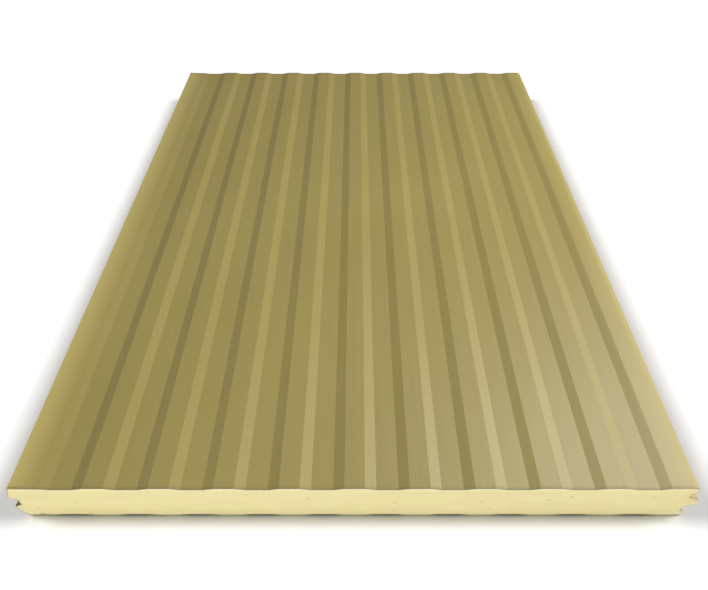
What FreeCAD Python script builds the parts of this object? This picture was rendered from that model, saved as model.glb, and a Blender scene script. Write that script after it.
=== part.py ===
"""Insulated sandwich panel: two roll-formed steel facings on a rigid foam core.

The panel lies flat with its inner facing down.  X runs across the panel, from the groove
edge (-X) to the tongue edge (+X), Y runs along it and Z points up.  The origin is on the
floor, under the middle of the panel.

Both facings are one folded line each.  A line starts in the groove, turns round the lip,
crosses the ribbed face and ends on the tongue, and the sheet is that line thickened inwards.
The foam fills all that is left between them.
"""
import FreeCAD, Part
import os

import Sketcher

# ---------------------------------------------------------------- driving dimensions, in mm
SIZES = [
    ("panel_length", 1360.0),          # along Y
    ("cover_width", 1000.0),           # from one joint to the next on a wall
    ("joint_gap", 8.0),                # between the faces of two panels pushed together
    ("panel_thickness", 80.0),         # over the crests of both facings
    ("sheet_thickness", 0.6),
    ("rib_pitch", 94.0),
    ("crest_width", 30.0),
    ("flank_width", 16.0),
    ("outer_rib_depth", 3.2),
    ("inner_rib_depth", 2.0),
    ("edge_strip", 43.0),              # plain strip beside the groove edge
    ("edge_fall_share", 0.4),          # how far that strip dips, as a share of the rib depth
    ("lip_reach", 7.0),                # how far the groove's lips stand out from the face
    ("lip_land", 5.0),                 # height of the blunt tip of a lip
    ("inner_setback", 5.0),            # of the inner face's corner behind the outer one
    ("groove_depth", 11.0),            # from the tips of the lips to the groove's floor
    ("groove_floor", 14.0),            # height of the groove at its floor
    ("groove_mouth", 24.0),            # height of the groove between its lips
    ("thermal_break", 6.0),            # bare foam between the edges of the two sheets
    ("tongue_clearance", 1.5),         # above and below the tongue in the groove
    ("tip_clearance", 1.0),            # between the tongue's tip and the groove's floor
    ("seal_room", 7.0),                # between a lip's tip and the bottom of its notch
    ("nose_clearance", 8.0),           # between a lip and the nose that closes over it
    ("nose_taper", 3.0),               # how much a nose thickens towards its notch
]


def make_sheet(doc):
    """Write the driving dimensions into the document's spreadsheet."""
    sheet = doc.addObject("Spreadsheet::Sheet", "Sizes")
    for row, (alias, value) in enumerate(SIZES, start=1):
        sheet.set(f"A{row}", alias)
        sheet.set(f"B{row}", str(value))
        sheet.setAlias(f"B{row}", alias)
    doc.recompute()
    return sheet


def bound(text):
    """Turn a formula in plain aliases into one that reads the spreadsheet."""
    for alias, _ in SIZES:
        text = text.replace(alias, f"Sizes.{alias}")
    return text


# ------------------------------------------------- sizes that follow from the driving ones
HALF_FACE = "(cover_width - joint_gap) / 2"
GROOVE_INSET = "(groove_depth - lip_reach)"
GROOVE_FLARE = "((groove_mouth - groove_floor) / 2 / groove_depth)"
TONGUE_REACH = f"(joint_gap + {GROOVE_INSET} - tip_clearance)"
TONGUE_TIP = f"(groove_floor / 2 + tip_clearance * {GROOVE_FLARE} - tongue_clearance)"
NOTCH_DEPTH = "(lip_reach - joint_gap + seal_room)"
TONGUE_ROOT = f"({TONGUE_TIP} + ({TONGUE_REACH} + {NOTCH_DEPTH}) * {GROOVE_FLARE})"
LIP_TOP = "(groove_mouth / 2 + lip_land)"
NOTCH_TOP = f"({LIP_TOP} + nose_clearance)"
NOSE_FOOT = f"({NOTCH_TOP} + nose_taper)"
MIDDLE = f"(({TONGUE_REACH} - lip_reach) / 2)"
CREST = "panel_thickness / 2"
VALLEY_WIDTH = "(rib_pitch - crest_width - 2 * flank_width)"


# ------------------------------------------------------------------------- the folded lines
# Every point is a pair of formulas: X from the middle of the outer face, and the height out
# from the panel's mid-plane.
def groove_edge(setback):
    """From the groove's floor round the lip, to the corner of the face."""
    floor_x = f"-({HALF_FACE} - {GROOVE_INSET})"
    tip_x = f"-({HALF_FACE} + lip_reach)"
    return [
        (floor_x, "thermal_break / 2"),
        (floor_x, "groove_floor / 2"),
        (tip_x, "groove_mouth / 2"),
        (tip_x, LIP_TOP),
        (f"-({HALF_FACE} - {setback})", CREST),
    ]


def tongue_edge(last_height):
    """From the corner of the face round the nose and its notch, to the tongue's tip."""
    floor_x = f"{HALF_FACE} - {NOTCH_DEPTH}"
    tip_x = f"{HALF_FACE} + {TONGUE_REACH}"
    return [
        (HALF_FACE, last_height),
        (HALF_FACE, NOSE_FOOT),
        (floor_x, NOTCH_TOP),
        (floor_x, TONGUE_ROOT),
        (tip_x, TONGUE_TIP),
        (tip_x, "thermal_break / 2"),
    ]


def ribbed_face(sheet, depth):
    """Across the face: a dipped edge strip, then valleys and crests to the last whole crest.

    Returns the points, and the height at which the face meets the tongue edge.
    """
    def bend(run, height):
        return f"{run} - {HALF_FACE}", height

    def value(text):
        return sheet.evalExpression(bound(text))

    valley = f"{CREST} - {depth}"
    first_foot = "(edge_strip + flank_width)"
    rise = f"{VALLEY_WIDTH} + flank_width"
    points = [
        bend("edge_strip", f"{CREST} - edge_fall_share * {depth}"),
        bend(first_foot, valley),
    ]
    room = value(f"cover_width - joint_gap - {first_foot} - {rise} - crest_width - flank_width / 2")
    crests = int(room // value("rib_pitch")) + 1
    for crest in range(crests):
        foot = f"{first_foot} + {crest} * rib_pitch"
        points.append(bend(f"{foot} + {VALLEY_WIDTH}", valley))
        points.append(bend(f"{foot} + {rise}", CREST))
        points.append(bend(f"{foot} + {rise} + crest_width", CREST))
        if crest < crests - 1:
            points.append(bend(f"{foot} + rib_pitch", valley))

    crest_end = f"({foot} + {rise} + crest_width)"
    margin = f"(cover_width - joint_gap - {crest_end})"
    if value(f"{margin} - flank_width") > 0:
        points.append(bend(f"{crest_end} + flank_width", valley))
        return points, valley
    return points, f"{CREST} - {depth} * {margin} / flank_width"


def facing_line(sheet, depth, setback):
    """The whole folded line of one facing, from the groove to the tongue."""
    face, last_height = ribbed_face(sheet, depth)
    return groove_edge(setback) + face + tongue_edge(last_height)


def above(points):
    """Count X from the middle of the whole panel, and stand the heights up: the outer facing."""
    return [(f"{x} - {MIDDLE}", f"{CREST} + {height}") for x, height in points]


def below(points):
    """Count X from the middle of the whole panel, and hang the heights down: the inner facing."""
    return [(f"{x} - {MIDDLE}", f"{CREST} - ({height})") for x, height in points]


# -------------------------------------------------------------------------------- the solids
def draw(doc, sheet, name, points, closed):
    """Draw straight lines through the points, each pinned to its two formulas."""
    sketch = doc.addObject("Sketcher::SketchObject", name)
    sketch.Placement = FreeCAD.Placement(
        FreeCAD.Vector(0, 0, 0), FreeCAD.Rotation(FreeCAD.Vector(1, 0, 0), 90))
    places = [FreeCAD.Vector(sheet.evalExpression(bound(x)), sheet.evalExpression(bound(z)), 0)
              for x, z in points]
    ends = places[1:] + places[:1] if closed else places[1:]
    lines = [Part.LineSegment(start, end) for start, end in zip(places, ends)]
    sketch.addGeometry(lines, False)

    last = len(lines) - 1
    joints = [Sketcher.Constraint("Coincident", line, 2, line + 1, 1) for line in range(last)]
    if closed:
        joints.append(Sketcher.Constraint("Coincident", last, 2, 0, 1))
    pins = []
    formulas = []
    for index, (place, point) in enumerate(zip(places, points)):
        line, end = (index, 1) if index <= last else (last, 2)
        pins.append(Sketcher.Constraint("DistanceX", line, end, place.x))
        pins.append(Sketcher.Constraint("DistanceY", line, end, place.y))
        formulas.extend(point)
    sketch.addConstraint(joints + pins)
    for number, formula in enumerate(formulas, start=len(joints)):
        sketch.setExpression(f"Constraints[{number}]", bound(formula))
    return sketch


def along_panel(doc, name, section):
    """Run a section the whole length of the panel, half of it each way from the middle."""
    run = doc.addObject("Part::Extrusion", name)
    run.Base = section
    run.DirMode = "Custom"
    run.Dir = FreeCAD.Vector(0, 1, 0)
    run.Solid = True
    run.Symmetric = True
    run.setExpression("LengthFwd", bound("panel_length"))
    return run


def make_facing(doc, sheet, name, points, inwards):
    """Fold one facing: its line, thickened towards the foam, run along the panel."""
    line = draw(doc, sheet, f"{name}_line", points, closed=False)
    section = doc.addObject("Part::Offset2D", f"{name}_section")
    section.Source = line
    section.Mode = "Skin"
    section.Join = "Intersection"
    section.Fill = True
    section.setExpression("Value", bound(f"{inwards} * sheet_thickness"))
    facing = along_panel(doc, name, section)
    facing.Label = name
    return facing


def make_core(doc, sheet, outer_points, inner_points, facings):
    """Fill the panel's outline with foam and take the two facings out of it."""
    outline = draw(doc, sheet, "panel_outline", outer_points + inner_points[::-1], closed=True)
    envelope = along_panel(doc, "panel_envelope", outline)
    skins = doc.addObject("Part::MultiFuse", "both_facings")
    skins.Shapes = facings
    core = doc.addObject("Part::Cut", "insulation_core")
    core.Base = envelope
    core.Tool = skins
    core.Label = "insulation_core"
    return core


def build():
    """Make the document and return the panel's pieces."""
    doc = FreeCAD.newDocument("sandwich_panel")
    sheet = make_sheet(doc)
    outer_points = above(facing_line(sheet, "outer_rib_depth", setback="0"))
    inner_points = below(facing_line(sheet, "inner_rib_depth", setback="inner_setback"))
    outer = make_facing(doc, sheet, "outer_facing", outer_points, inwards=-1)
    inner = make_facing(doc, sheet, "inner_facing", inner_points, inwards=1)
    core = make_core(doc, sheet, outer_points, inner_points, [outer, inner])
    doc.recompute()
    return doc, [outer, inner, core]


def check(doc, pieces):
    """Stop before anything is written if the document or a piece has failed."""
    for item in doc.Objects:
        if "Invalid" in item.State or "Error" in item.State:
            raise RuntimeError(f"{item.Label} failed: {item.State}")
    for piece in pieces:
        if piece.Shape.isNull() or not piece.Shape.isValid():
            raise RuntimeError(f"{piece.Label} has no valid shape")
        if len(piece.Shape.Solids) != 1:
            raise RuntimeError(f"{piece.Label} is {len(piece.Shape.Solids)} solids, not one")


def write(pieces):
    """Write one STEP file for each piece, named by its label."""
    os.makedirs("parts", exist_ok=True)
    for piece in pieces:
        piece.Shape.exportStep(f"parts/{piece.Label}.step")
        box = piece.Shape.BoundBox
        print(f"{piece.Label}: {piece.Shape.Volume / 1e6:.3f} litres, {len(piece.Shape.Faces)} faces, "
              f"X {box.XMin:.1f} to {box.XMax:.1f}, Y {box.YMin:.1f} to {box.YMax:.1f}, "
              f"Z {box.ZMin:.2f} to {box.ZMax:.2f}")


document, panel_pieces = build()
check(document, panel_pieces)
write(panel_pieces)
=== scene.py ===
# %% [markdown]
# # An insulated sandwich panel, lying flat
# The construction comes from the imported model: two folded steel facings and the rigid foam
# that was blown in between them. This lesson roughens the sawn ends of the foam, gives the
# three pieces their finishes, lays the panel on a pale floor and lights it softly. Everything
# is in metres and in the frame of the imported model, so nothing has to be moved to fit.

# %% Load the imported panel
import math
import random

import bpy
import numpy as np
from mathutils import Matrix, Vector
from mathutils import noise as field
from mathutils.geometry import delaunay_2d_cdt


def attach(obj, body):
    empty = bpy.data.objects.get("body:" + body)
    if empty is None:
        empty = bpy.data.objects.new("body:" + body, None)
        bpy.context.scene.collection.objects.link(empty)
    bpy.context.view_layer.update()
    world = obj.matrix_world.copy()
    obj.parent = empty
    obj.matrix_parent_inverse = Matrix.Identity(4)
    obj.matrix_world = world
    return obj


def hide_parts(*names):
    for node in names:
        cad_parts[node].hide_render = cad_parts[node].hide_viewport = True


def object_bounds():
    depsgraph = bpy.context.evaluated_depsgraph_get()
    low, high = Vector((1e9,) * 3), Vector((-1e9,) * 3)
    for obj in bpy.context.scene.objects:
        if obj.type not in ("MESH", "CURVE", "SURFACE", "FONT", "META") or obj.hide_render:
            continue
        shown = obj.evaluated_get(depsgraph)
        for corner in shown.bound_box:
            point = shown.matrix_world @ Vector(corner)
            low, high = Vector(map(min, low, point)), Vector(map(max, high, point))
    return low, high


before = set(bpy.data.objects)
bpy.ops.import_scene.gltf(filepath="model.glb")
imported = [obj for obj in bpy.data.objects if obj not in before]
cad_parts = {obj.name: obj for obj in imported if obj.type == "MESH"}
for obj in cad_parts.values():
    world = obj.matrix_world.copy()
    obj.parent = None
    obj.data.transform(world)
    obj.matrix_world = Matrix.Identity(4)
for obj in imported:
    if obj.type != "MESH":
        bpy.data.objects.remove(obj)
cad_low, cad_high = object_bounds()
outer_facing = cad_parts["outer_facing"]
inner_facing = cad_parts["inner_facing"]
insulation_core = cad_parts["insulation_core"]
scene = bpy.context.scene

panel_length = cad_high.y - cad_low.y
panel_thickness = cad_high.z - cad_low.z
print("panel, metres:", [round(side, 4) for side in cad_high - cad_low])

# %% [markdown]
# ## The torn ends of the foam
# A saw tears foam open, so its ends aren't flat: the blade leaves shallow waves across the
# panel, the open cells roughen them, and blow-holes show as pits. Sculpting by hand could do
# it, or a displacement over the whole block. Here each end face is taken out of a copy of the
# core and filled again with a fine net of triangles inside the same outline, because then the
# outline stays exactly where the facings are and only the net's inner points move.
#
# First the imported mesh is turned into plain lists. Points that share a place are joined into
# one, so that neighbouring faces really share their corners.

# %% A mesh as plain lists
def points_and_faces(mesh):
    """The points of a mesh without doubles, and its faces as lists of point numbers."""
    points, number, faces = [], {}, []
    for face in mesh.polygons:
        corners = []
        for vertex in face.vertices:
            place = tuple(round(value, 7) for value in mesh.vertices[vertex].co)
            if place not in number:
                number[place] = len(points)
                points.append(place)
            corners.append(number[place])
        faces.append(corners)
    return points, faces


points, faces = points_and_faces(insulation_core.data)
print("core:", len(points), "points,", len(faces), "faces")

# %% [markdown]
# ### The outline of an end
# Walking round each face gives its steps from corner to corner. A step inside the patch is
# also walked backwards by the neighbour, so the steps with no way back are the outline.

# %% Outline of a patch of faces
SAME_PLANE = 0.00001


def outline_of(patch):
    """The numbers of the points around a patch of faces, in order."""
    steps = {(a, b) for face in patch for a, b in zip(face, face[1:] + face[:1])}
    follow = {a: b for a, b in steps if (b, a) not in steps}
    start = min(follow)
    loop = [start]
    while follow[loop[-1]] != start:
        loop.append(follow[loop[-1]])
    assert len(loop) == len(follow), "an end face has one outline"
    return loop


def end_patch(end_y):
    """The faces that lie in the plane of a sawn end."""
    return [face for face in faces if all(abs(points[n][1] - end_y) < SAME_PLANE for n in face)]


print("outline of the near end:", len(outline_of(end_patch(cad_low.y))), "points")

# %% [markdown]
# ### A net of points inside it
# The net is a grid a little over two millimetres wide, with each point nudged off its place
# so that no rows show. A point counts as inside when a level line from it to the right meets
# the outline an odd number of times. Points nearer to the outline than the rim are left out,
# as they would make slivers there.

# %% Net of points inside an outline
NET = 0.0023
NUDGE = 0.3
RIM = 0.0011
NET_SEED = 5


def net_inside(corners):
    """A nudged grid of points inside an outline, none nearer to it than the rim."""
    corner = np.array(corners)
    (left, bottom), (right, top) = corner.min(0), corner.max(0)
    across, up = np.meshgrid(np.arange(left, right, NET), np.arange(bottom, top, NET))
    net = np.stack([across.ravel(), up.ravel()], 1)
    net += np.random.default_rng(NET_SEED).uniform(-NUDGE, NUDGE, net.shape) * NET
    inside = np.zeros(len(net), bool)
    nearest = np.full(len(net), 1.0)
    for start, end in zip(corner, np.roll(corner, -1, 0)):
        along = end - start
        share = np.clip(((net - start) @ along) / (along @ along), 0, 1)
        nearest = np.minimum(nearest, np.hypot(*(net - start - share[:, None] * along).T))
        if start[1] != end[1]:
            crossing = start[0] + (net[:, 1] - start[1]) / along[1] * along[0]
            between = (start[1] > net[:, 1]) != (end[1] > net[:, 1])
            inside ^= between & (net[:, 0] < crossing)
    return net[inside & (nearest > RIM)]


near_outline = [(points[n][0], points[n][2]) for n in outline_of(end_patch(cad_low.y))]
print("net of the near end:", len(net_inside(near_outline)), "points")

# %% [markdown]
# ### How deep the foam is torn
# The depth at a place is a sum: an even quarter of a millimetre, waves that are long across
# the panel and short in height as a blade leaves them, a fine roughness, and a bowl for each
# pit. It never goes outside the plane of the cut and never deeper than about a millimetre and
# a half. Each end reads the noise at a place of its own, so that the two ends differ.

# %% Depth of the torn surface
WAVES_ACROSS = 9.0
WAVES_UP = 230.0
ROUGH_GRAIN = 260.0
EVEN_DEPTH = 0.00024
WAVE_DEPTH = 0.00014
ROUGH_DEPTH = 0.00012
LEAST_DEPTH = 0.00003
DEEPEST = 0.0016
BOWL = 0.55


def torn_depth(x, z, side, pits):
    """How far the torn surface lies behind the plane of the saw cut."""
    wave = field.noise(Vector((x * WAVES_ACROSS, side * 4.0, z * WAVES_UP)))
    rough = field.noise(Vector((x * ROUGH_GRAIN, side * 8.0, z * ROUGH_GRAIN)))
    depth = EVEN_DEPTH + WAVE_DEPTH * wave + ROUGH_DEPTH * rough
    for pit_x, pit_z, radius in pits:
        reach = 1.0 - math.hypot(x - pit_x, z - pit_z) / radius
        if reach > 0.0:
            depth += BOWL * radius * min(1.0, 2.0 * reach)
    return min(max(depth, LEAST_DEPTH), DEEPEST)


middle_depth = torn_depth(0.0, panel_thickness / 2, -1, [])
print("torn depth in the middle of the near end:", round(middle_depth * 1000, 2), "mm")

# %% [markdown]
# ### Filling an end again
# A Delaunay triangulation joins the outline and the net into even triangles and keeps every
# side of the outline. The corners of the outline keep their old numbers, so the new surface
# is joined to the long sides of the block without a seam.

# %% Torn surface of one end
INSIDE_ONLY = 1
SAME_POINT = 1e-7
PITS = 45
SMALLEST_PIT = 0.0014
LARGEST_PIT = 0.0030
lottery = random.Random(11)


def torn_end(side, end_y, loop):
    """Fill an end's outline with torn foam; new points join the list, faces are returned."""
    outline = [(points[n][0], points[n][2]) for n in loop]
    inner = net_inside(outline)
    pits = []
    for _ in range(PITS):
        middle = inner[lottery.randrange(len(inner))]
        pits.append((*middle, lottery.uniform(SMALLEST_PIT, LARGEST_PIT)))
    flat = [Vector(place) for place in outline] + [Vector(place) for place in inner]
    ring = [(n, (n + 1) % len(loop)) for n in range(len(loop))]
    found, _, triangles, origin, _, _ = delaunay_2d_cdt(flat, ring, [], INSIDE_ONLY, SAME_POINT)
    numbers = []
    for place, source in zip(found, origin):
        if source and source[0] < len(loop):
            numbers.append(loop[source[0]])
            continue
        numbers.append(len(points))
        depth = torn_depth(place.x, place.y, side, pits)
        points.append((place.x, end_y - side * depth, place.y))
    print("end", side, "net points:", len(inner), "triangles:", len(triangles))
    fronts = [[numbers[n] for n in triangle] for triangle in triangles]
    return fronts if side < 0 else [front[::-1] for front in fronts]


# %% [markdown]
# ### The foam block
# Both ends are swapped for torn ones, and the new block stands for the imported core. Its torn
# ends are shaded smooth, because the net is fine enough to carry the relief, and its moulded
# long sides stay flat with crisp corners.

# %% Foam block in place of the core
torn = []
for side, end_y in ((-1, cad_low.y), (1, cad_high.y)):
    patch = end_patch(end_y)
    faces = [face for face in faces if face not in patch]
    torn += torn_end(side, end_y, outline_of(patch))

block_mesh = bpy.data.meshes.new("foam_block")
block_mesh.from_pydata(points, [], faces + torn)
block_mesh.polygons.foreach_set("use_smooth", [False] * len(faces) + [True] * len(torn))
block_mesh.update()
foam_block = bpy.data.objects.new("foam_block", block_mesh)
scene.collection.objects.link(foam_block)
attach(foam_block, "root")
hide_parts("insulation_core")
print("foam block:", len(block_mesh.polygons), "faces")

# %% [markdown]
# ## The camera
# Someone stands just beyond the near end and looks down along the panel. From so close, a
# short lens makes the long edges run together, and that is what shows how long a flat thing
# is. The lens is written as its focal length in picture widths, which is how perspective is
# measured, and turned into millimetres of a film 36 mm wide.

# %% Camera over the near end
FOCAL_IN_WIDTHS = 0.8658
FILM_WIDTH = 36.0
CAMERA_ABOVE = 0.8095
CAMERA_BEFORE = 0.4347
CAMERA_ASIDE = 0.0024
SHIFT_ASIDE = -0.0034
LOOKING_DOWN = math.radians(44.21)

camera_data = bpy.data.cameras.new("camera")
camera_data.sensor_width = FILM_WIDTH
camera_data.lens = FILM_WIDTH * FOCAL_IN_WIDTHS
camera_data.shift_x = SHIFT_ASIDE
camera = bpy.data.objects.new("camera", camera_data)
camera.location = (CAMERA_ASIDE, cad_low.y - CAMERA_BEFORE, cad_high.z + CAMERA_ABOVE)
camera.rotation_euler = (math.pi / 2 - LOOKING_DOWN, 0.0, 0.0)
scene.collection.objects.link(camera)
scene.camera = camera
scene.view_settings.view_transform = "Standard"
print("lens:", round(camera_data.lens, 2), "mm")

# %% [markdown]
# ## A small kit for node trees
# Every finish here is a tree of nodes, so the same few moves come again and again: add a
# node, fill its sockets, join two sockets. With these helpers each recipe below stays as
# short as a list of what can be seen on the real surface.

# %% Add a node and feed it
def add_node(tree, kind, **settings):
    """Add a node; a setting named after a socket fills it, any other is the node's own."""
    node = tree.nodes.new(kind)
    for name, value in settings.items():
        socket = name.replace("_", " ")
        if socket in node.inputs:
            node.inputs[socket].default_value = value
        else:
            setattr(node, name, value)
    return node


def feed(tree, source, target):
    """Fill a socket: with another socket's output, or with a plain number or colour."""
    if isinstance(source, bpy.types.NodeSocket):
        tree.links.new(source, target)
    else:
        target.default_value = source


# %% [markdown]
# ### Arithmetic
# Masks are made by sums. A sum or a product of two values is one node, and a longer sum is a
# chain of them. Remapping takes the part of a value that matters, such as the middle of a
# noise, and stretches it over the range that is wanted.

# %% Sums, products and ranges
def calculate(tree, operation, first, second=0.0, clamp=False):
    """One step of arithmetic on sockets or plain numbers."""
    node = add_node(tree, "ShaderNodeMath", operation=operation, use_clamp=clamp)
    feed(tree, first, node.inputs[0])
    feed(tree, second, node.inputs[1])
    return node.outputs[0]


def times(tree, first, second):
    return calculate(tree, "MULTIPLY", first, second)


def total(tree, first, *others, clamp=False):
    """The sum of several values; clamp keeps only the final sum between 0 and 1."""
    for left, value in enumerate(others, 1 - len(others)):
        first = calculate(tree, "ADD", first, value, clamp and left == 0)
    return first


def remap(tree, value, low, high, to_low=0.0, to_high=1.0):
    """Stretch the part of a value between low and high over a new range, and clamp it."""
    node = add_node(tree, "ShaderNodeMapRange", From_Min=low, From_Max=high)
    node.inputs["To Min"].default_value = to_low
    node.inputs["To Max"].default_value = to_high
    feed(tree, value, node.inputs["Value"])
    return node.outputs["Result"]


def swing(tree, noisy, amount):
    """The middle of a noise, from 0.3 to 0.7, as a swing of so much below and above nought."""
    return remap(tree, noisy, 0.3, 0.7, -amount, amount)


# %% [markdown]
# ### Colours
# Colours are written as a colour chart gives them, from 0 to 255, and turned into the linear
# light that shaders work in. A finish starts from one colour and is mixed towards others,
# each by its own mask.

# %% Colours and mixing
def srgb(red, green, blue):
    """A colour given as 0 to 255, as a colour chart gives it, turned into linear light."""
    def linear(value):
        value /= 255
        return value / 12.92 if value <= 0.04045 else ((value + 0.055) / 1.055) ** 2.4
    return (linear(red), linear(green), linear(blue), 1.0)


def mix_colour(tree, mask, first, second):
    """Go from the first colour to the second as the mask goes from 0 to 1."""
    node = add_node(tree, "ShaderNodeMix", data_type="RGBA")
    feed(tree, mask, node.inputs[0])
    feed(tree, first, node.inputs[6])
    feed(tree, second, node.inputs[7])
    return node.outputs[2]


print("a chart grey of 128 is", round(srgb(128, 128, 128)[0], 3), "in linear light")

# %% [markdown]
# ### Places and patterns
# Every pattern hangs on the place of a point on the piece, in metres, so that it is as large
# as the real one and the same on both facings. Noise gives clouds, and the three axes of the
# place tell how high or how far across a point is.

# %% Noise, and the axes of a place
def noise(tree, place, scale, detail=2.0, roughness=0.5):
    """A cloudy value around 0.5 over a place."""
    node = add_node(tree, "ShaderNodeTexNoise", Scale=scale, Detail=detail, Roughness=roughness)
    feed(tree, place, node.inputs["Vector"])
    return node.outputs["Fac"]


def axes_of(tree, place):
    """The X, Y and Z of a place, as three outputs."""
    node = add_node(tree, "ShaderNodeSeparateXYZ")
    feed(tree, place, node.inputs[0])
    return node.outputs


# %% [markdown]
# ### Materials and groups
# A material starts as an output and a Principled BSDF. A group starts as its named sockets,
# which are made on its interface, and is put into a material as one node.

# %% Materials and groups
def new_material(name):
    """An empty node material with its output and a Principled BSDF joined up."""
    material = bpy.data.materials.new(name)
    material.use_nodes = True
    tree = material.node_tree
    tree.nodes.clear()
    output = add_node(tree, "ShaderNodeOutputMaterial")
    shader = add_node(tree, "ShaderNodeBsdfPrincipled")
    tree.links.new(shader.outputs["BSDF"], output.inputs["Surface"])
    return material, tree, shader


def dress(piece, material):
    """Give a piece one material."""
    piece.data.materials.clear()
    piece.data.materials.append(material)


def new_group(name, inputs, output):
    """An empty group: inputs as (name, kind, value), and the name of its one output."""
    group = bpy.data.node_groups.new(name, "ShaderNodeTree")
    for socket, kind, value in inputs:
        item = group.interface.new_socket(name=socket, in_out="INPUT", socket_type=kind)
        if value is not None:
            item.default_value = value
    group.interface.new_socket(name=output, in_out="OUTPUT", socket_type="NodeSocketFloat")
    entry = group.nodes.new("NodeGroupInput")
    leave = group.nodes.new("NodeGroupOutput")
    return group, entry.outputs, leave.inputs[output]


def use_group(tree, group, **inputs):
    """Put a group into a tree, fill its inputs and return its one output."""
    node = tree.nodes.new("ShaderNodeGroup")
    node.node_tree = group
    for name, value in inputs.items():
        feed(tree, value, node.inputs[name.replace("_", " ")])
    return node.outputs[0]


# %% [markdown]
# ## Effects that the steel and the foam share
# Four things happen to both materials, so each is a node group of its own. A group gives only
# a value or a mask, and the material decides what to do with it.
#
# The first is drift: no coat and no foam has quite the same colour from one end to the other.
# It is a large soft noise around nought.

# %% Group: slow drift from place to place
VECTOR = "NodeSocketVector"
NUMBER = "NodeSocketFloat"

drift, inside, outside = new_group(
    "slow_drift", [("Place", VECTOR, None), ("Patch Size", NUMBER, 0.3)], "Drift")
patches = calculate(drift, "DIVIDE", 1.0, inside["Patch Size"])
clouds = noise(drift, inside["Place"], 1.0, detail=3.0, roughness=0.55)
feed(drift, patches, clouds.node.inputs["Scale"])
feed(drift, times(drift, calculate(drift, "SUBTRACT", clouds, 0.5), 4.0), outside)
print(drift.name, "has", len(drift.nodes), "nodes")

# %% [markdown]
# The second is streaks: rollers leave them along the coat and a saw blade leaves them across
# the foam. They are a noise in a place that is squeezed along one axis, where the pattern
# then gets longer.

# %% Group: streaks along one axis
streaks, inside, outside = new_group(
    "streaks", [("Place", VECTOR, None), ("Squeeze", VECTOR, (1.0, 1.0, 1.0)),
                ("Fineness", NUMBER, 200.0), ("Raggedness", NUMBER, 0.5)], "Streak")
squeezed = add_node(streaks, "ShaderNodeVectorMath", operation="MULTIPLY")
feed(streaks, inside["Place"], squeezed.inputs[0])
feed(streaks, inside["Squeeze"], squeezed.inputs[1])
lines = noise(streaks, squeezed.outputs[0], 1.0, detail=3.0)
feed(streaks, inside["Fineness"], lines.node.inputs["Scale"])
feed(streaks, inside["Raggedness"], lines.node.inputs["Roughness"])
feed(streaks, lines, outside)
print(streaks.name, "has", len(streaks.nodes), "nodes")

# %% [markdown]
# The third is specks: dust on the coat and open pores in the foam. Space is split into cells,
# each cell draws a lot, and the ones that win hold one round speck of their own size.

# %% Group: scattered specks
specks, inside, outside = new_group(
    "specks", [("Place", VECTOR, None), ("Spacing", NUMBER, 0.01),
               ("Speck Size", NUMBER, 0.1), ("Share", NUMBER, 0.3)], "Mask")
cells = add_node(specks, "ShaderNodeTexVoronoi", feature="F1")
feed(specks, inside["Place"], cells.inputs["Vector"])
feed(specks, calculate(specks, "DIVIDE", 1.0, inside["Spacing"]), cells.inputs["Scale"])
lots = add_node(specks, "ShaderNodeSeparateColor")
feed(specks, cells.outputs["Color"], lots.inputs["Color"])
size = times(specks, lots.outputs["Green"], inside["Speck Size"])
near = calculate(specks, "LESS_THAN", cells.outputs["Distance"], size)
drawn = calculate(specks, "LESS_THAN", lots.outputs["Red"], inside["Share"])
feed(specks, times(specks, near, drawn), outside)
print(specks.name, "has", len(specks.nodes), "nodes")

# %% [markdown]
# The fourth is the sawn end. The mask is 1 in the plane of the cut and falls to 0 over a band
# before it. A wide band gives the painted shade along the coat's ends, and a very narrow one
# the bare edge of the sheet or the depth of a pit, which sets the painted shade in the pits.

# %% Group: how near a place is to a sawn end
sawn_end, inside, outside = new_group(
    "sawn_end", [("Place", VECTOR, None), ("Half Length", NUMBER, 0.68),
                 ("Band", NUMBER, 0.005)], "Mask")
along = calculate(sawn_end, "ABSOLUTE", axes_of(sawn_end, inside["Place"])["Y"])
short_of_end = calculate(sawn_end, "SUBTRACT", inside["Half Length"], along)
share = calculate(sawn_end, "DIVIDE", short_of_end, inside["Band"], clamp=True)
feed(sawn_end, calculate(sawn_end, "SUBTRACT", 1.0, share), outside)


def near_sawn_end(tree, place, band):
    """The mask of this panel's sawn ends, over a band of some millimetres."""
    return use_group(tree, sawn_end, Place=place, Half_Length=panel_length / 2, Band=band)


print(sawn_end.name, "has", len(sawn_end.nodes), "nodes")

# %% [markdown]
# ## The coated steel
# The facings are galvanised strip, 0.6 mm thick, with a baked polyester coating in a dull
# bronze gold. It was rolled on along the strip, so faint streaks run lengthwise, and the
# colour drifts a little over the face. The strips beside the long edges are painted paler:
# a painted highlight where they face the light. One flat colour would look like plastic.
# Three near colours, mixed by drift, streaks and grain, keep the coat calm and still alive.

# %% Colour of the coat over a face
COAT = srgb(149, 135, 76)
COAT_DEEP = srgb(139, 124, 66)
COAT_PALE = srgb(158, 145, 88)
# Painted highlight: the paler colour of the strips beside the long edges.
STRIP_PAINTED_HIGHLIGHT = srgb(182, 166, 100)
STRIP_TO = 0.500
GROOVE_STRIP_FROM = 0.452
TONGUE_STRIP_FROM = 0.446
TONGUE_HIGHLIGHT_SHARE = 0.45


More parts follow.
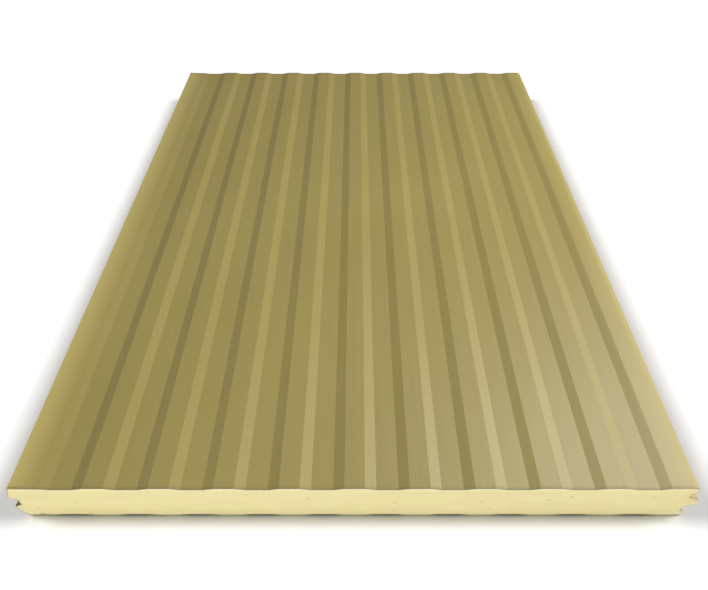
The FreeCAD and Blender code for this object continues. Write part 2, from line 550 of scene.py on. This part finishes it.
def coat_over_face(tree, place, drifting, grain):
    """The coat's colour, with its drift, its streaks, its grain and a painted highlight on the edge
    strips.
    """
    rolled = use_group(tree, streaks, Place=place, Squeeze=(1.0, 0.02, 1.0), Fineness=220.0)
    deepness = total(tree, times(tree, drifting, 0.22), 0.12,
                     swing(tree, rolled, 0.18), swing(tree, grain, 0.16), clamp=True)
    colour = mix_colour(tree, deepness, COAT, COAT_DEEP)
    paleness = calculate(tree, "MULTIPLY", drifting, -0.25, clamp=True)
    colour = mix_colour(tree, paleness, colour, COAT_PALE)

    # The strips beside the long edges are painted paler, a painted highlight, with less on the tongue
    # side.
    across = axes_of(tree, place)["X"]
    groove_painted_highlight = remap(tree, across, -GROOVE_STRIP_FROM, -STRIP_TO)
    tongue_painted_highlight = remap(tree, across, TONGUE_STRIP_FROM, STRIP_TO, 0.0, TONGUE_HIGHLIGHT_SHARE)
    return mix_colour(tree, total(tree, groove_painted_highlight, tongue_painted_highlight), colour, STRIP_PAINTED_HIGHLIGHT)


# %% [markdown]
# ### Dust, painted shade and sawn ends
# A panel from a yard carries a little dust. The last few millimetres of coat before each
# sawn end are painted darker as painted shade, with a ragged border, and are duller there,
# and where the saw cut through the sheet the grey zinc and steel show.

# %% Dust, painted shade at the ends and bare edge
DUST = srgb(196, 190, 160)
# Painted shade along the sawn ends.
END_PAINTED_SHADE = srgb(126, 112, 66)
BARE_ZINC = srgb(128, 126, 118)
END_SHADE_BAND = 0.007
BARE_BAND = 0.0006


def dust_edges_and_end_shade(tree, place, colour):
    """The coat's colour with dust, bare sawn edges and painted shade before the ends, and that band's
    mask.
    """
    dusty = use_group(tree, specks, Place=place, Spacing=0.006, Speck_Size=0.09, Share=0.25)
    colour = mix_colour(tree, times(tree, dusty, 0.3), colour, DUST)

    # Painted shade: a darker band before each sawn end, with a ragged border; the band also makes the
    # coat duller.
    ragged = noise(tree, place, 260.0, detail=3.0)
    end_shade_and_dullness = total(tree, near_sawn_end(tree, place, END_SHADE_BAND), swing(tree, ragged, 0.25))
    end_shade_and_dullness = remap(tree, end_shade_and_dullness, 0.25, 0.75)
    colour = mix_colour(tree, times(tree, end_shade_and_dullness, 0.75), colour, END_PAINTED_SHADE)

    cut = calculate(tree, "GREATER_THAN", near_sawn_end(tree, place, BARE_BAND), 0.6)
    cut = times(tree, cut, remap(tree, ragged, 0.42, 0.5, 0.45, 0.9))
    return mix_colour(tree, cut, colour, BARE_ZINC), end_shade_and_dullness


# %% [markdown]
# ### Grain and sheen
# Up close the coating is satin with a fine leathery grain, about one and a half millimetres
# from bump to bump and far too shallow to model, so it is a bump. The same grain makes the
# sheen uneven. Both facings have the same coat, and each gets its own material, so that a
# later user can recolour one side.

# %% The coated steel, put together
COAT_SPECULAR = 0.7


def coated_steel(name):
    """Bronze-gold polyester on zinc: drift, coil streaks, leathery grain, dust, bare sawn edges, a
    painted highlight on the edge strips and painted shade at the ends.
    """
    material, tree, shader = new_material(name)
    place = add_node(tree, "ShaderNodeTexCoord").outputs["Object"]
    drifting = use_group(tree, drift, Place=place, Patch_Size=0.35)
    grain = noise(tree, place, 900.0, roughness=0.6)
    colour, end_shade_and_dullness = dust_edges_and_end_shade(tree, place, coat_over_face(tree, place, drifting, grain))
    feed(tree, colour, shader.inputs["Base Color"])

    # The end band that carries the painted shade also makes the coat duller there.
    dullness = total(tree, remap(tree, grain, 0.3, 0.7, 0.40, 0.46),
                     times(tree, drifting, 0.03), times(tree, end_shade_and_dullness, 0.12))
    feed(tree, dullness, shader.inputs["Roughness"])
    shader.inputs["Specular IOR Level"].default_value = COAT_SPECULAR

    leather = add_node(tree, "ShaderNodeTexVoronoi", feature="F1", Scale=620.0)
    feed(tree, place, leather.inputs["Vector"])
    bump = add_node(tree, "ShaderNodeBump", Strength=0.22, Distance=0.0002)
    feed(tree, total(tree, leather.outputs["Distance"], times(tree, grain, 0.5)), bump.inputs["Height"])
    feed(tree, bump.outputs["Normal"], shader.inputs["Normal"])
    print(name, "has", len(tree.nodes), "nodes")
    return material


dress(outer_facing, coated_steel("outer_coat"))
dress(inner_facing, coated_steel("inner_coat"))

# %% [markdown]
# ## The rigid foam
# The core is pale yellow polyurethane foam. Where it is sawn, cells a millimetre or less
# across are cut open and the blade leaves faint level streaks. Next to the sheets the foam is
# denser and paler, and in between it has slightly pinker patches where it set first. Deep
# places are painted darker as painted shade: the hollows of the cells, the open pores, and the
# pits that were modelled above.

# %% Colour of the sawn foam
FOAM = srgb(241, 230, 171)
FOAM_DEEP = srgb(224, 209, 148)
FOAM_WARM = srgb(238, 219, 168)
FOAM_DENSE = srgb(248, 238, 186)
# Painted shade for the pores and the deep places of the pits.
FOAM_PAINTED_SHADE = srgb(196, 172, 104)


def sawn_foam(tree, place, drifting, cell, blade, pores):
    """The colour of the foam where it is sawn, with painted shade in the cell hollows, pores and pits."""
    # The hollows of the cells are painted a little darker: painted shade.
    deepness = total(tree, times(tree, drifting, 0.15), 0.10,
                     swing(tree, blade, 0.18), times(tree, cell, 0.22), clamp=True)
    colour = mix_colour(tree, deepness, FOAM, FOAM_DEEP)
    patches = use_group(tree, streaks, Place=place, Squeeze=(0.2, 1.0, 1.0), Fineness=45.0)
    colour = mix_colour(tree, remap(tree, patches, 0.45, 0.68, 0.0, 0.75), colour, FOAM_WARM)

    half_way = panel_thickness / 2
    from_middle = calculate(tree, "SUBTRACT", axes_of(tree, place)["Z"], half_way)
    from_middle = calculate(tree, "DIVIDE", calculate(tree, "ABSOLUTE", from_middle), half_way)
    colour = mix_colour(tree, remap(tree, from_middle, 0.70, 0.94, 0.0, 0.7), colour, FOAM_DENSE)

    # Painted shade: the open pores and the deep places of the pits are painted darker.
    colour = mix_colour(tree, times(tree, pores, 0.4), colour, FOAM_PAINTED_SHADE)
    pit_painted_shade = remap(tree, near_sawn_end(tree, place, DEEPEST), 0.7, 0.2)
    return mix_colour(tree, times(tree, pit_painted_shade, 0.4), colour, FOAM_PAINTED_SHADE)


# %% [markdown]
# ### Sawn and moulded foam in one material
# On the long edges the foam grew against a mould, so the groove and the tongue have a
# smoother, slightly darker skin. The narrow mask of the sawn ends tells the two kinds of
# surface apart, so one material can carry both, as one block of foam does.

# %% The rigid foam, put together
FOAM_SKIN = srgb(228, 211, 146)
SAWN_BAND = 0.004
FOAM_SPECULAR = 0.25

foam, tree, shader = new_material("yellow_foam")
place = add_node(tree, "ShaderNodeTexCoord").outputs["Object"]
drifting = use_group(tree, drift, Place=place, Patch_Size=0.06)
cell_walls = add_node(tree, "ShaderNodeTexVoronoi", feature="DISTANCE_TO_EDGE", Scale=1100.0)
feed(tree, place, cell_walls.inputs["Vector"])
cell = remap(tree, cell_walls.outputs["Distance"], 0.0, 0.35)
blade = use_group(tree, streaks, Place=place, Squeeze=(0.02, 1.0, 1.0), Fineness=420.0, Raggedness=0.6)
pores = use_group(tree, specks, Place=place, Spacing=0.006, Speck_Size=0.12, Share=0.3)
at_end = calculate(tree, "GREATER_THAN", near_sawn_end(tree, place, SAWN_BAND), 0.5)

skin_share = total(tree, times(tree, drifting, 0.2), 0.3, clamp=True)
skin = mix_colour(tree, skin_share, FOAM_SKIN, FOAM_DEEP)
sawn = sawn_foam(tree, place, drifting, cell, blade, pores)
feed(tree, mix_colour(tree, at_end, skin, sawn), shader.inputs["Base Color"])
feed(tree, remap(tree, at_end, 0.0, 1.0, 0.7, 0.95), shader.inputs["Roughness"])
shader.inputs["Specular IOR Level"].default_value = FOAM_SPECULAR

# %% [markdown]
# ### Cells in relief
# The cells are smaller than the net of the torn ends, so they are a bump: ridges from the
# blade, less the hollow of each cell, less the pores. The moulded skin keeps a fifth of it.

# %% Relief of the foam
open_cells = calculate(tree, "SUBTRACT", times(tree, blade, 0.8), cell)
open_cells = calculate(tree, "SUBTRACT", open_cells, times(tree, pores, 2.0))
relief = times(tree, open_cells, remap(tree, at_end, 0.0, 1.0, 0.2, 1.0))
bump = add_node(tree, "ShaderNodeBump", Strength=0.5, Distance=0.0004)
feed(tree, relief, bump.inputs["Height"])
feed(tree, bump.outputs["Normal"], shader.inputs["Normal"])
dress(foam_block, foam)
print(foam.name, "has", len(tree.nodes), "nodes")

# %% [markdown]
# ## The floor
# The floor is plain matt paper, so large that its edge is never seen. A sheet bent up into a
# backdrop would do as well, but the camera looks down and never meets it. The paper is lit so
# that it just reaches white, and it keeps the panel's soft shadow.

# %% Floor
FLOOR_SIZE = 40.0

bpy.ops.mesh.primitive_plane_add(size=FLOOR_SIZE, location=(0.0, 0.0, cad_low.z))
floor = bpy.context.active_object
floor.name = "floor"
paper, tree, shader = new_material("pale_paper")
place = add_node(tree, "ShaderNodeTexCoord").outputs["Object"]
fibres = use_group(tree, drift, Place=place, Patch_Size=0.8)
mask = total(tree, times(tree, fibres, 0.5), 0.5, clamp=True)
tone = mix_colour(tree, mask, (0.80, 0.80, 0.80, 1.0), (0.81, 0.81, 0.81, 1.0))
feed(tree, tone, shader.inputs["Base Color"])
shader.inputs["Roughness"].default_value = 1.0
shader.inputs["Specular IOR Level"].default_value = 0.0
dress(floor, paper)
print("floor:", FLOOR_SIZE, "m square")

# %% [markdown]
# ## The room
# Beyond the floor the room is white for the camera. For all other rays it is dim, so that the
# lamps and not the room model the ribs.

# %% Room
ROOM = 0.16

world = bpy.data.worlds.new("room")
scene.world = world
world.use_nodes = True
tree = world.node_tree
tree.nodes.clear()
output = add_node(tree, "ShaderNodeOutputWorld")
background = add_node(tree, "ShaderNodeBackground", Color=(1.0, 1.0, 1.0, 1.0))
path = add_node(tree, "ShaderNodeLightPath")
feed(tree, remap(tree, path.outputs["Is Camera Ray"], 0.0, 1.0, ROOM, 1.0), background.inputs["Strength"])
feed(tree, background.outputs["Background"], output.inputs["Surface"])
print("room strength:", ROOM)

# %% [markdown]
# ## Two kinds of lamp
# A soft box stands near and gives a sheen with a soft border. A far lamp shines evenly over
# the whole panel, which a near one can't, and the angle that it fills sets how soft its
# shadows are. Each lamp is joined to the pieces that it lights, as a studio does with flags
# and cards. The others still throw their shadows in its light.

# %% Soft boxes and far lamps
def light_only(lamp, pieces):
    """Let a lamp light only these pieces; everything still throws its shadow."""
    group = bpy.data.collections.new(lamp.name + "_lights")
    for piece in pieces:
        group.objects.link(piece)
    lamp.light_linking.receiver_collection = group


def softbox(name, place, aim, size, watts, pieces):
    """A square area lamp at a place, turned to shine at a point."""
    data = bpy.data.lights.new(name, "AREA")
    data.size = size
    data.energy = watts
    lamp = bpy.data.objects.new(name, data)
    lamp.location = place
    lamp.rotation_euler = (Vector(aim) - Vector(place)).to_track_quat("-Z", "Y").to_euler()
    scene.collection.objects.link(lamp)
    light_only(lamp, pieces)
    print(name, watts, "W")


def far_lamp(name, direction, strength, spread, pieces):
    """A lamp so far off that its light is even; spread is the angle that it fills."""
    data = bpy.data.lights.new(name, "SUN")
    data.energy = strength
    data.angle = math.radians(spread)
    lamp = bpy.data.objects.new(name, data)
    lamp.rotation_euler = Vector(direction).to_track_quat("Z", "Y").to_euler()
    scene.collection.objects.link(lamp)
    light_only(lamp, pieces)
    print(name, strength, "W per square metre")


# %% [markdown]
# ## The lamps
# The ribs are only about three millimetres deep, so the panel needs light that rakes across
# them: a far lamp low on the right. A soft box high on the right puts its sheen on the near
# right corner, and one before the panel lights the sawn end. The floor has a pair of its own,
# from both sides, so that its shadow is the same left and right.

# %% Lamps
panel = [outer_facing, inner_facing, foam_block]
softbox("key_right", place=(1.35, 0.05, 1.7), aim=(0.4, -0.4, 0.0), size=1.5, watts=32.0, pieces=panel)
softbox("front_soft", place=(-0.4, -3.2, 1.2), aim=(0.0, -0.6, 0.0), size=1.6, watts=34.0, pieces=panel)
far_lamp("low_right", direction=(2.0, -0.1, 1.0), strength=3.1, spread=12.0, pieces=panel)
for name, aside in (("floor_left", -0.86), ("floor_right", 0.86)):
    far_lamp(name, direction=(aside, 0.19, 1.0), strength=2.35, spread=18.0, pieces=[floor])
